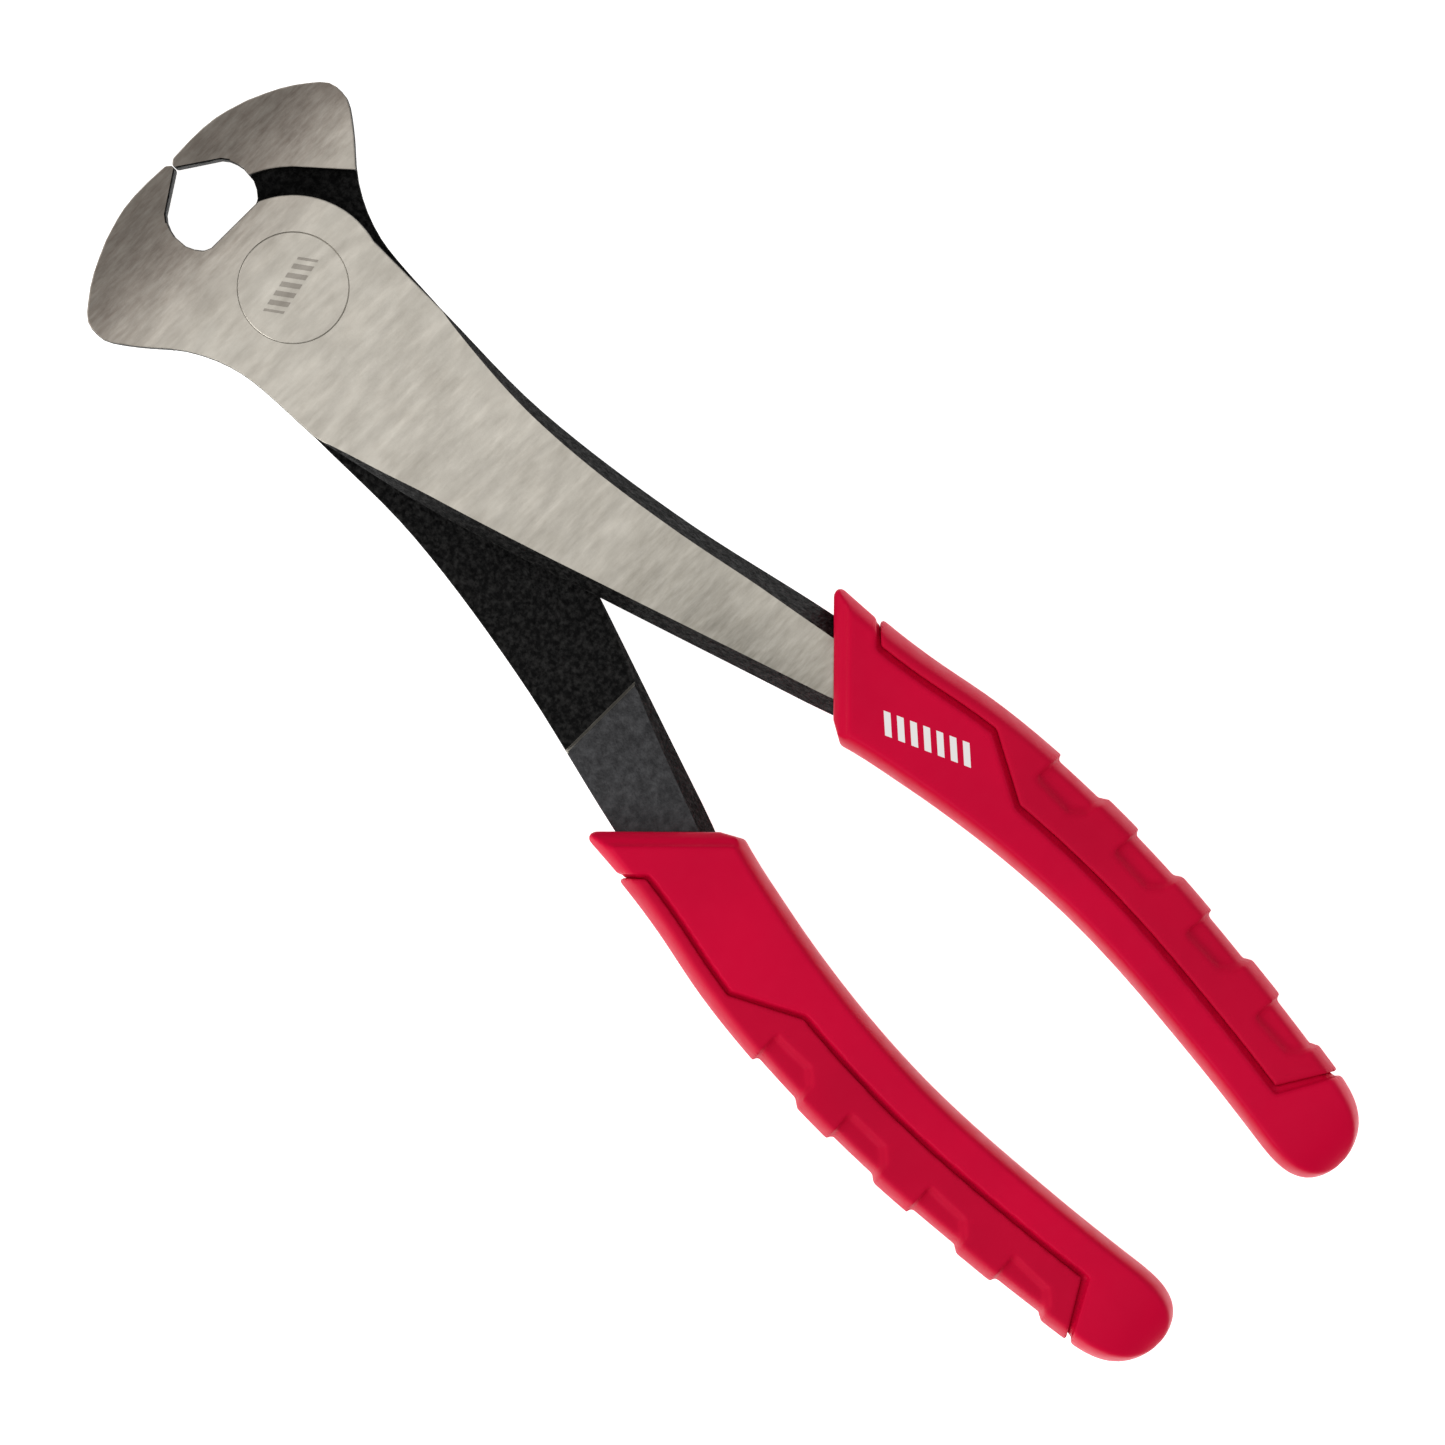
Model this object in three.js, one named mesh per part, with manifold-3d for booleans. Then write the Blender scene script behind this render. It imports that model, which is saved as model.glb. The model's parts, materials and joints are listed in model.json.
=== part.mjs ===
// End-cutting nippers, 229 mm long: two identical forged halves that lap at a flush rivet, each with a
// moulded grip of two shots. Millimetres. The pivot axis is parallel to +Z, the jaws point along +Y, and the
// tool lies with the side of its jaws on the XY plane, under the middle of its length.
//
// Every piece is drawn about the pivot: the front half has its jaw at -X and its limb at +X, and lies above
// the lap plane z = 0. The rear half is the same forging turned half a turn about the long axis Y.
import * as THREE from "three";
import { mergeVertices } from "three/addons/utils/BufferGeometryUtils.js";
import Module from "manifold-3d";

const wasm = await Module();
wasm.setup();

// ---- Driving dimensions ---------------------------------------------------------------------------------

// Head. "Reach" is measured forward of the pivot axis, "back" behind it, "half" from a centreline.
const jawReach = 26.4; // pivot axis to the front of the closed jaws
const headSpan = 51.4; // across the heels of the two jaws
const heelSetback = 10.8; // front of the jaws to the widest point of the heel
const edgeLength = 24; // length of the cutting edge, along the pivot axis
const edgeLand = 1.5; // flat where the two edges meet
const edgeGap = 0.3; // left between the closed edges
const bevelAngle = 34; // inner bevel behind the edge, degrees from square
const heelHeight = 17; // thickness of the jaw at its heel, where it is lower than the edge is long

// Throat, the opening behind the cutting edges.
const throatWidth = 14.4;
const throatFloor = 12.8; // reach of its flat floor

// Lap joint.
const jointThickness = 14; // both halves together
const bossRadius = 13.9;
const shoulderGap = 4.1; // boss to the shoulder of the other half's jaw
const lapGap = 0.3; // between the two lap faces
const flareReach = 8.5; // where the jaws start to flare up from the joint's face
const flareRadius = 34.5; // concave sweep from there up to the edge's full length

// Rivet.
const rivetRadius = 5;
const rivetHeadRadius = 8.3;
const rivetHeadRim = 0.4; // straight rim of the countersunk head
const rivetHeadDepth = 2.6;
const rivetClearance = 0.1; // running clearance, all round

// Limb: the arm that crosses behind the pivot, and the tang inside the grip.
const waistBack = 18;
const waistHalf = 13.45;
const crotchBack = 65; // where the two arms part
const crotchHalf = 8.5;
const mouthBack = 97; // where the grip's slanted end crosses the limb's centreline
const mouthHalf = 6.7;
const mouthOffset = 17.3; // centreline of the limb at the grip's mouth, from the long axis
const armThickness = 9; // at the grip's mouth
const rampBack = 77.5; // end of the lap face, where the arm starts to thicken
const rampLength = 29.5; // it runs out under the grip
const rampLip = 0.7;
const tangHalf = 4.1;
const tangThickness = 7.4;
const tangNeckLength = 22; // arm narrows to tang over this length
const tangShort = 16; // the tang ends this far before the grip does

// Grip.
const bellyBack = 149; // where the handles stand furthest apart
const bellyOffset = 24.4;
const gripBack = 202.7; // pivot axis to the end of the grip
const tipOffset = 19.2;
const gripMouthHalf = 9.4;
const gripMouthFlare = 2.8; // added to that half width at the very front
const gripBellyHalf = 8.35;
const gripTipHalf = 8;
const gripTipLength = 13; // the rounded end
const gripTipSquareness = 3.7; // 2 is round
const gripThickness = 16;
const gripSquareness = 3.4; // exponent of its cross-section: 2 is an ellipse
const coreSquareness = 0.25; // the cross-section gets squarer by this share per mm inside the surface
const mouthSlant = 45; // degrees between the grip's open end and the long axis
const mouthTipInset = 1.8; // width of the blunt tip of that end
const gripClearance = 0.3; // tang to sleeve, and sleeve to pad

// Pad: the second shot, which wraps the outer side of the sleeve.
const padThickness = 1.6;
const padFrontBack = 97; // where it starts on the outer side
const padStripWidth = 3.3; // narrow strip beside the mouth
const padStripBack = 120.5; // end of that strip
const padWideBack = 131; // start of the wide part
const padEndBack = 187.5;
const padLineInset = 0.9; // the wide part's edge lies this far inside the centreline
const padEndSlant = 5.4; // the pad's rear edge runs this much further back on the outer side
const notchCount = 4;
const notchBack = 130.4; // first finger notch
const notchPitch = 16.1;
const notchLength = 8.2;
const notchReach = 4.9; // from the outer side onto the face
const notchDepth = 0.8;
const notchCorner = 1.6;

// Facets.
const roundSegments = 48;
const ringSegments = 32;
const ribStep = 5; // spacing of the points along a limb's outline

// ---- Derived sizes --------------------------------------------------------------------------------------

const headHalf = headSpan / 2;
const jointHalf = jointThickness / 2;
const shoulderRadius = bossRadius + shoulderGap;
const throatHalf = throatWidth / 2;
const throatApex = jawReach - edgeLand;
const tangBack = gripBack - tangShort;
const tipStart = gripBack - gripTipLength;
const wide = 3 * gripBack; // larger than the tool

// ---- Solids ---------------------------------------------------------------------------------------------

// A closed three.js geometry as a manifold solid, with its shared vertices merged.
function solid(geometry) {
  geometry.deleteAttribute("normal");
  geometry.deleteAttribute("uv");
  const merged = mergeVertices(geometry, 1e-4);
  return new wasm.Manifold(
    new wasm.Mesh({
      numProp: 3,
      vertProperties: merged.attributes.position.array,
      triVerts: new Uint32Array(merged.index.array),
    }),
  );
}

function geometryOf(made) {
  const mesh = made.getMesh();
  const geometry = new THREE.BufferGeometry();
  geometry.setAttribute("position", new THREE.BufferAttribute(mesh.vertProperties, 3));
  geometry.setIndex(new THREE.BufferAttribute(mesh.triVerts, 1));
  geometry.computeVertexNormals();
  return geometry;
}

// A plan outline as a plate between two heights.
function plate(shape, bottom, top) {
  const geometry = new THREE.ExtrudeGeometry(shape, { depth: top - bottom, bevelEnabled: false });
  return solid(geometry.translate(0, 0, bottom));
}

// A body along -Y made of rounded cross-sections: at each back, "centre" is its middle across X, and "half"
// and "rise" are its half width and half thickness. "square" sets how square its corners are.
function loft(backs, centre, half, rise, square) {
  const ring = backs.map((b) =>
    steps(0, 2 * Math.PI, (2 * Math.PI) / ringSegments)
      .slice(0, -1)
      .map((a) => [
        centre(b) + half(b) * Math.sign(Math.cos(a)) * Math.abs(Math.cos(a)) ** (2 / square),
        -b,
        rise(b) * Math.sign(Math.sin(a)) * Math.abs(Math.sin(a)) ** (2 / square),
      ]),
  );
  const first = [centre(backs[0]), -backs[0], 0];
  const last = [centre(backs.at(-1)), -backs.at(-1), 0];
  const points = [...ring.flat(), first, last];
  const faces = [];
  for (let j = 0; j < ringSegments; j += 1) {
    const k = (j + 1) % ringSegments;
    faces.push(points.length - 2, k, j);
    for (let i = 0; i + 1 < ring.length; i += 1) {
      const near = i * ringSegments;
      const far = near + ringSegments;
      faces.push(near + j, near + k, far + k, near + j, far + k, far + j);
    }
    const end = (ring.length - 1) * ringSegments;
    faces.push(points.length - 1, end + j, end + k);
  }
  const geometry = new THREE.BufferGeometry();
  geometry.setAttribute("position", new THREE.Float32BufferAttribute(points.flat(), 3));
  geometry.setIndex(faces);
  return solid(geometry);
}

// A side profile, drawn with Y across and Z up, as a bar right across the tool along X.
function sideBar(shape) {
  const geometry = new THREE.ExtrudeGeometry(shape, { depth: wide, bevelEnabled: false });
  geometry.translate(0, 0, -wide / 2);
  const turn = new THREE.Matrix4().makeBasis(
    new THREE.Vector3(0, 1, 0),
    new THREE.Vector3(0, 0, 1),
    new THREE.Vector3(1, 0, 0),
  );
  return solid(geometry.applyMatrix4(turn));
}

// An end profile, drawn with X across and Z up, as a bar along Y.
function endBar(shape) {
  const geometry = new THREE.ExtrudeGeometry(shape, { depth: wide, bevelEnabled: false });
  geometry.translate(0, 0, -wide / 2);
  return solid(geometry.rotateX(Math.PI / 2));
}

// A body of revolution about the pivot axis, from [radius, z] points.
function turned(profile) {
  const points = profile.map(([r, z]) => new THREE.Vector2(r, z));
  const geometry = new THREE.LatheGeometry(points, roundSegments);
  return solid(geometry.rotateX(Math.PI / 2));
}

function outline(points) {
  return new THREE.Shape(points.map(([x, y]) => new THREE.Vector2(x, y)));
}

// ---- Limb lines -----------------------------------------------------------------------------------------

// A smooth value along the limb, through [back, value] pairs.
function along(pairs) {
  const backs = pairs.map((pair) => pair[0]);
  const values = pairs.map((pair) => pair[1]);
  const curve = new THREE.CubicInterpolant(backs, values, 1);
  return (back) => curve.evaluate(THREE.MathUtils.clamp(back, backs[0], backs.at(-1)))[0];
}

const mix = THREE.MathUtils.lerp;

// The limb's centreline: it crosses the long axis at the waist, runs straight to the mouth and bows out.
const limbCentre = along([
  [waistBack, 0],
  [mix(waistBack, crotchBack, 0.45), mix(0, crotchHalf, 0.29)],
  [crotchBack, crotchHalf],
  [mouthBack, mouthOffset],
  [mix(mouthBack, bellyBack, 0.5), mix(mouthOffset, bellyOffset, 0.76)],
  [bellyBack, bellyOffset],
  [mix(bellyBack, gripBack, 0.5), mix(bellyOffset, tipOffset, 0.35)],
  [gripBack, tipOffset],
]);

const steelHalf = along([
  [waistBack, waistHalf],
  [mix(waistBack, crotchBack, 0.45), mix(waistHalf, crotchHalf, 0.52)],
  [crotchBack, crotchHalf],
  [mouthBack, mouthHalf],
  [mouthBack + tangNeckLength, tangHalf],
  [tangBack, tangHalf],
]);

const gripHalf = along([
  [mouthBack - gripMouthHalf, gripMouthHalf + gripMouthFlare],
  [mouthBack, gripMouthHalf + 0.35 * gripMouthFlare],
  [mouthBack + gripMouthHalf, gripMouthHalf],
  [mix(mouthBack, bellyBack, 0.4), mix(gripMouthHalf, gripBellyHalf, 0.15)],
  [bellyBack, gripBellyHalf],
  [tipStart, gripTipHalf],
]);

// Half width of the grip with its end rounded off, "inset" mm inside its surface.
function gripHalfAt(back, inset) {
  const past = (back - tipStart) / (gripTipLength - inset);
  const rounding = past > 0 ? Math.sqrt(Math.max(0, 1 - past ** gripTipSquareness)) : 1;
  return (gripHalf(back) - inset) * rounding;
}

const gripOuter = (back) => limbCentre(back) + gripHalf(back);

// Backs from one value to another in even steps, both ends included.
function steps(from, to, step) {
  const count = Math.max(1, Math.round((to - from) / step));
  return Array.from({ length: count + 1 }, (_, i) => mix(from, to, i / count));
}

// ---- Forging --------------------------------------------------------------------------------------------

// The throat's wall on the jaw's side, from the floor up to the bevel.
function throatWall() {
  const bevelX = throatHalf - 1.4;
  const bevelY = throatApex - bevelX * Math.tan(THREE.MathUtils.degToRad(bevelAngle));
  return [
    [-throatHalf + 2.7, throatFloor],
    [-throatHalf + 1.5, throatFloor + 0.6],
    [-throatHalf + 0.4, throatFloor + 2.3],
    [-throatHalf, mix(throatFloor, bevelY, 0.52)],
    [-throatHalf + 0.4, mix(throatFloor, bevelY, 0.8)],
    [-bevelX, bevelY],
    [-edgeGap / 2, throatApex],
  ];
}

// The jaw from the cutting edge round its heel to the waist, down the outer side.
function jawBack() {
  const s = headHalf;
  const heel = jawReach - heelSetback;
  const front = new THREE.CatmullRomCurve3(
    [
      [-edgeGap / 2, jawReach],
      [-0.36 * s, jawReach - 0.3],
      [-0.6 * s, jawReach - 1.9],
      [-0.78 * s, jawReach - 4.2],
      [-0.91 * s, jawReach - 6.5],
      [-0.985 * s, heel + 2.2],
      [-s, heel],
      [-0.985 * s, heel - 2],
      [-0.885 * s, heel - 5.5],
      [-0.72 * s, heel - 10.4],
      [-mix(waistHalf, s, 0.185), 0],
      [-mix(waistHalf, s, 0.05), -0.3 * waistBack],
      [-waistHalf, -waistBack],
    ].map(([x, y]) => new THREE.Vector3(x, y, 0)),
  );
  return front.getPoints(48).map((p) => [p.x, p.y]);
}

function forgingPlan() {
  const backs = steps(waistBack + ribStep, tangBack, ribStep);
  const inner = backs.map((b) => [limbCentre(b) - steelHalf(b), -b]);
  const outer = backs.map((b) => [limbCentre(b) + steelHalf(b), -b]).reverse();
  const floorAngle = Math.asin(throatFloor / bossRadius);
  const waistAngle = -Math.acos(Math.min(1, waistHalf / bossRadius));
  const boss = steps(waistAngle, floorAngle, Math.PI / 24).map((a) => [
    bossRadius * Math.cos(a),
    bossRadius * Math.sin(a),
  ]);
  return outline([...jawBack(), ...inner, ...outer, [waistHalf, -waistBack], ...boss, ...throatWall()]);
}

// Side profile: thickness of the forging along the tool, the same above and below the lap plane.
function forgingSide() {
  const tall = edgeLength / 2;
  const rise = tall - jointHalf;
  const sweep = Math.acos(Math.max(0, 1 - rise / flareRadius));
  const flare = steps(0, sweep, sweep / 8).map((a) => [
    flareReach + flareRadius * Math.sin(a),
    jointHalf + flareRadius * (1 - Math.cos(a)),
  ]);
  const arm = armThickness / 2;
  const tang = tangThickness / 2;
  const neck = mouthBack + gripMouthHalf;
  const top = [
    [-tangBack - ribStep, tang],
    [-neck - ribStep, tang],
    [-neck, arm],
    [-waistBack, jointHalf],
    ...flare,
    [jawReach + ribStep, tall],
  ];
  const bottom = top.map(([y, z]) => [y, -z]).reverse();
  return sideBar(outline([...top, ...bottom]));
}

// Front view of the jaws: full height at the edge, lower at the heel.
function forgingEnd() {
  const tall = edgeLength / 2;
  const low = heelHeight / 2;
  const across = steps(-1, 1, 0.125);
  const top = across.map((u) => [u * (headHalf + 1), tall - (tall - low) * Math.abs(u) ** 4]);
  const bottom = top.map(([x, z]) => [x, -z]).reverse();
  return endBar(outline([...top, ...bottom]));
}

// What the other half occupies: the boss's pocket and the trough that its arm crosses, up to the ramp.
function lapPocket() {
  const top = lapGap / 2;
  const deep = -edgeLength;
  const pocket = turned([
    [0, deep],
    [shoulderRadius, deep],
    [shoulderRadius, top],
    [0, top],
  ]);
  const trough = sideBar(
    outline([
      [0, deep],
      [0, top],
      [-rampBack, top],
      [-rampBack - rampLip / 2, -rampLip],
      [-rampBack - rampLength, -armThickness / 2],
      [-rampBack - rampLength, deep],
    ]),
  );
  return pocket.add(trough);
}

// The rivet's profile from its lower face up, "grow" mm larger all round.
function rivetProfile(grow, over) {
  const face = jointHalf + over;
  const head = rivetHeadRadius + grow;
  const shank = rivetRadius + grow;
  const rim = jointHalf - rivetHeadRim;
  const neck = jointHalf - rivetHeadDepth;
  return [
    [0, -face],
    [head, -face],
    [head, -rim],
    [shank, -neck],
    [shank, neck],
    [head, rim],
    [head, face],
    [0, face],
  ];
}

function forging() {
  return plate(forgingPlan(), -edgeLength, edgeLength)
    .intersect(forgingSide())
    .intersect(forgingEnd())
    .subtract(lapPocket())
    .subtract(turned(rivetProfile(rivetClearance, 1)));
}

function rivet() {
  return turned(rivetProfile(0, 0));
}

// ---- Grip -----------------------------------------------------------------------------------------------

// The grip's body before its mouth is cut, "inset" mm inside its surface. Its end is rounded in plan and
// slightly in thickness.
function gripBody(inset) {
  const end = gripBack - inset;
  const straight = steps(mouthBack - 1.5 * gripMouthHalf, tipStart, ribStep);
  const rounded = steps(0, 1, 0.125).map((u) => mix(tipStart, end, Math.sin((u * Math.PI) / 2)));
  const backs = [...straight, ...rounded.slice(1, -1), end - 0.05];
  const rise = (b) => (gripThickness / 2 - inset) * (0.55 + 0.45 * gripHalfAt(b, inset) / (gripHalf(b) - inset));
  const square = gripSquareness * (1 + coreSquareness * inset);
  return loft(backs, limbCentre, (b) => gripHalfAt(b, inset), rise, square);
}

// Everything in front of the grip's slanted end, with its blunt outer tip.
function mouthCutter() {
  const centre = limbCentre(mouthBack);
  const slope = Math.tan(THREE.MathUtils.degToRad(mouthSlant));
  const tipX = gripOuter(mouthBack - gripMouthHalf) - mouthTipInset;
  const tipY = -mouthBack + (tipX - centre) * slope;
  return plate(
    outline([
      [centre - wide, -mouthBack - wide * slope],
      [tipX, tipY],
      [tipX + 2 * mouthTipInset, tipY - mouthTipInset],
      [tipX + 2 * mouthTipInset, wide],
      [centre - wide, wide],
    ]),
    -wide,
    wide,
  );
}

// The pad's plan, from its edge line out past the outer side, "grow" mm larger.
function padPlan(grow) {
  const strip = steps(padFrontBack + 2, padStripBack, ribStep).map((b) => [gripOuter(b) - padStripWidth - grow, -b]);
  const line = steps(padWideBack, padEndBack, ribStep).map((b) => [limbCentre(b) - padLineInset - grow, -b]);
  const past = wide / 2;
  const endBack = padEndBack + grow;
  return outline([
    [past, -padFrontBack + grow],
    [gripOuter(padFrontBack), -padFrontBack + grow],
    ...strip,
    ...line,
    [limbCentre(endBack) - padLineInset - grow, -endBack],
    [gripOuter(endBack), -endBack - padEndSlant],
    [past, -endBack - padEndSlant],
  ]);
}

// One finger notch's plan: square at its front, its inner rear corner cut off.
function notchPlan(back) {
  const rear = back + notchLength;
  const out = gripOuter(back) + notchReach;
  const inner = gripOuter(mix(back, rear, 0.5)) - notchReach;
  return outline([
    [out, -back],
    [inner, -back],
    [inner, -rear + notchCorner],
    [inner + notchCorner, -rear],
    [out, -rear],
  ]);
}

// The room inside the sleeve: the limb's own plan and thickness with the clearance all round.
function tangRoom() {
  const front = mouthBack - 2 * gripMouthHalf;
  const end = tangBack + gripClearance;
  const backs = steps(front, end, ribStep);
  const halfAt = (b) => steelHalf(b) + gripClearance;
  const right = backs.map((b) => [limbCentre(b) + halfAt(b), -b]);
  const left = backs.map((b) => [limbCentre(b) - halfAt(b), -b]).reverse();
  const arm = armThickness / 2 + gripClearance;
  const tang = tangThickness / 2 + gripClearance;
  const neck = mouthBack + gripMouthHalf + gripClearance;
  const top = [
    [-end, tang],
    [-neck - ribStep, tang],
    [-neck, arm],
    [-front, arm + (jointHalf - arm) / 2],
  ];
  const bottom = top.map(([y, z]) => [y, -z]).reverse();
  return plate(outline([...right, ...left]), -wide, wide).intersect(sideBar(outline([...top, ...bottom])));
}

function gripPieces() {
  const whole = gripBody(0).subtract(mouthCutter());
  const core = gripBody(padThickness + gripClearance);
  const coreClear = gripBody(padThickness);
  const padZone = plate(padPlan(0), -wide, wide);
  const padZoneClear = plate(padPlan(gripClearance), -wide, wide);
  const sleeve = whole.subtract(padZoneClear.subtract(core)).subtract(tangRoom());
  const lowered = gripBody(notchDepth);
  let pad = whole.intersect(padZone).subtract(coreClear);
  for (let i = 0; i < notchCount; i += 1) {
    const zone = plate(notchPlan(notchBack + i * notchPitch), -wide, wide);
    pad = pad.subtract(zone.subtract(lowered));
  }
  return { sleeve, pad };
}

// ---- Assembly -------------------------------------------------------------------------------------------

const groundSteel = new THREE.MeshStandardMaterial({ color: 0xb9b2a4, roughness: 0.42, metalness: 0.9 });
const rivetSteel = new THREE.MeshStandardMaterial({ color: 0xaaa498, roughness: 0.38, metalness: 0.95 });
const redSleeve = new THREE.MeshStandardMaterial({ color: 0xc8102e, roughness: 0.45, metalness: 0 });
const redPad = new THREE.MeshStandardMaterial({ color: 0xc31432, roughness: 0.6, metalness: 0 });

const nippers = new THREE.Group();
nippers.position.set(0, (gripBack - jawReach) / 2, edgeLength / 2);

function add(name, made, material, rear = false) {
  const mesh = new THREE.Mesh(geometryOf(made), material);
  mesh.name = name;
  mesh.rotation.y = rear ? Math.PI : 0;
  nippers.add(mesh);
}

const half = forging();
const { sleeve, pad } = gripPieces();
for (const [side, rear] of [
  ["front", false],
  ["rear", true],
]) {
  add(`${side}_half`, half, groundSteel, rear);
  add(`${side}_grip_sleeve`, sleeve, redSleeve, rear);
  add(`${side}_grip_pad`, pad, redPad, rear);
}
add("pivot_rivet", rivet(), rivetSteel);

export default nippers;
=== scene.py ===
# %% [markdown]
# # End-cutting nippers
# The tool is two forged steel halves, alike but turned half a turn about the tool's length, that cross at
# one flush rivet. Each half ends in a tang inside a red moulded grip of two shots: a sleeve, and a pad with
# finger notches let into its outer side. Everything below is drawn in millimetres about the pivot: x across
# the tool, y towards the jaws, z up from the plane where the two halves lap.

# %% Load the engineering model
import math

import bpy
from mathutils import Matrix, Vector
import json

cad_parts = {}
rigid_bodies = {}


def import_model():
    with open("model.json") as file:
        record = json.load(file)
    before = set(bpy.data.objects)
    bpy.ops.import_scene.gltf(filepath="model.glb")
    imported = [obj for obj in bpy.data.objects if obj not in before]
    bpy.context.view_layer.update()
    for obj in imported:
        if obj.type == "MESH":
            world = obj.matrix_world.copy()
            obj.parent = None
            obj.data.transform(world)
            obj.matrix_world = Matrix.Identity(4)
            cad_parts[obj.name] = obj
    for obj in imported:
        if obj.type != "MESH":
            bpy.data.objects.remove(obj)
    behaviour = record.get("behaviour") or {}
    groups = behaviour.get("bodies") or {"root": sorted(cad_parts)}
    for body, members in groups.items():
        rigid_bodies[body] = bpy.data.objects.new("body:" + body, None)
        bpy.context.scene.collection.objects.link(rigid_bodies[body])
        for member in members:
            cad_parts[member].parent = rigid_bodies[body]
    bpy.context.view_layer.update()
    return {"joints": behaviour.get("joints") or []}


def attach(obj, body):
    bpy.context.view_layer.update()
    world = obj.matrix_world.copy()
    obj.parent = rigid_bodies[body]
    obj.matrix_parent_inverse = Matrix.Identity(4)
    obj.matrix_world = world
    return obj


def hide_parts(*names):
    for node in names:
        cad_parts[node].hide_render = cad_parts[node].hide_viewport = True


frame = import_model()
pivot = Vector(frame["joints"][0]["pos_m"])

# %% [markdown]
# ## Places along the tool
# The arms and grips run in smooth bows, and their widths swell and shrink smoothly too. Curve objects could
# hold these lines, but every cut below has to follow them as well, so they are kept as two functions of the
# distance behind the pivot: where the middle of a limb runs, and how wide its steel is on each side of it.


# %% Places and smooth lines
def at(x, y, z=0.0):
    """A point of the tool, in millimetres from the pivot, as a place in the scene."""
    return pivot + Vector((x, y, z)) / 1000


def smooth_line(*knots):
    """A smooth value along the tool, through (distance, value) knots."""

    def slope(i):
        a, b = knots[max(i - 1, 0)], knots[min(i + 1, len(knots) - 1)]
        return (b[1] - a[1]) / (b[0] - a[0])

    def value(d):
        d = min(max(d, knots[0][0]), knots[-1][0])
        i = max(k for k in range(len(knots) - 1) if knots[k][0] <= d)
        (d0, v0), (d1, v1) = knots[i], knots[i + 1]
        t, span = (d - d0) / (d1 - d0), d1 - d0
        bend0, bend1 = slope(i) * span, slope(i + 1) * span
        return (
            (2 * t**3 - 3 * t**2 + 1) * v0
            + (t**3 - 2 * t**2 + t) * bend0
            + (3 * t**2 - 2 * t**3) * v1
            + (t**3 - t**2) * bend1
        )

    return value


def even(start, stop, step):
    """Values from start to stop, both included, about one step apart."""
    count = max(1, round(abs(stop - start) / step))
    return [start + (stop - start) * i / count for i in range(count + 1)]


arm_start, crotch_back, crotch_x = 18, 65, 8.5
mouth_back, mouth_x = 97.0, 17.3
belly_back, belly_x = 149.0, 24.4
grip_end, tip_x = 202.7, 19.2
limb_centre = smooth_line(
    (arm_start, 0), (39, 2.5), (crotch_back, crotch_x), (mouth_back, mouth_x),
    (123, 22.7), (belly_back, belly_x), (176, 22.6), (grip_end, tip_x),
)
steel_half = smooth_line(
    (arm_start, 13.45), (39, 10.9), (crotch_back, 8.5), (mouth_back, 6.7), (119, 4.1), (187, 4.1)
)
print("limb centre at the crotch", limb_centre(crotch_back), "and at the belly", limb_centre(belly_back))

# %% [markdown]
# ## Drawing by hand
# Every solid here starts as a flat outline. A tiny plane is merged to one point, the point is extruded from
# corner to corner, the loop is filled, and the face is extruded into a solid. A mould or a forging die is
# cut in the same way, from outlines seen from above and from the side, so the same few helpers both make
# the pieces and the tools that cut them. Every operator works on what is selected, so each helper selects
# first.


# %% Select one piece, and settle it
def only(piece):
    """Selects one object and makes it active."""
    bpy.ops.object.select_all(action="DESELECT")
    piece.select_set(True)
    bpy.context.view_layer.objects.active = piece


def settle(piece):
    """Back to object mode, with the object's place moved into its mesh."""
    bpy.ops.object.mode_set(mode="OBJECT")
    only(piece)
    bpy.ops.object.transform_apply(location=True, rotation=True, scale=True)
    return piece


# %% Draw an outline and raise it
def draw(name, corners):
    """Extrudes one point from corner to corner and fills the loop. Stays in edit mode."""
    bpy.ops.object.select_all(action="DESELECT")
    bpy.ops.mesh.primitive_plane_add(size=0.0001, location=corners[0])
    piece = bpy.context.active_object
    piece.name = name
    bpy.ops.object.mode_set(mode="EDIT")
    bpy.ops.mesh.select_mode(type="VERT")
    bpy.ops.mesh.merge(type="CENTER")
    for here, there in zip(corners, corners[1:]):
        bpy.ops.mesh.extrude_vertices_move(TRANSFORM_OT_translate={"value": there - here})
    bpy.ops.mesh.select_all(action="SELECT")
    bpy.ops.mesh.edge_face_add()
    return piece


def raise_solid(piece, travel):
    """Extrudes the drawn face along travel and turns its faces outwards."""
    bpy.ops.mesh.extrude_region_move(TRANSFORM_OT_translate={"value": travel})
    bpy.ops.mesh.select_all(action="SELECT")
    bpy.ops.mesh.normals_make_consistent(inside=False)
    return settle(piece)


# %% Plates and bars
def plate(name, plan, bottom, top):
    """A plan outline as a plate between two heights."""
    piece = draw(name, [at(x, y, bottom) for x, y in plan])
    return raise_solid(piece, Vector((0, 0, top - bottom)) / 1000)


def side_bar(name, profile, half_width=60.0):
    """A side profile of (y, z) points as a bar across the tool."""
    piece = draw(name, [at(-half_width, y, z) for y, z in profile])
    return raise_solid(piece, Vector((2 * half_width, 0, 0)) / 1000)


# %% Modifiers, and cutting one piece with another
def modify(piece, kind, **settings):
    """Adds a modifier and applies it."""
    only(piece)
    bpy.ops.object.modifier_add(type=kind)
    modifier = piece.modifiers[-1]
    for setting, value in settings.items():
        setattr(modifier, setting, value)
    bpy.ops.object.modifier_apply(modifier=modifier.name)


def carve(piece, tool, how="DIFFERENCE", keep=False):
    """Cuts a piece with a tool, or keeps what they share, and clears the tool away."""
    modify(piece, "BOOLEAN", operation=how, object=tool, solver="EXACT")
    if not keep:
        bpy.data.objects.remove(tool)


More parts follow.
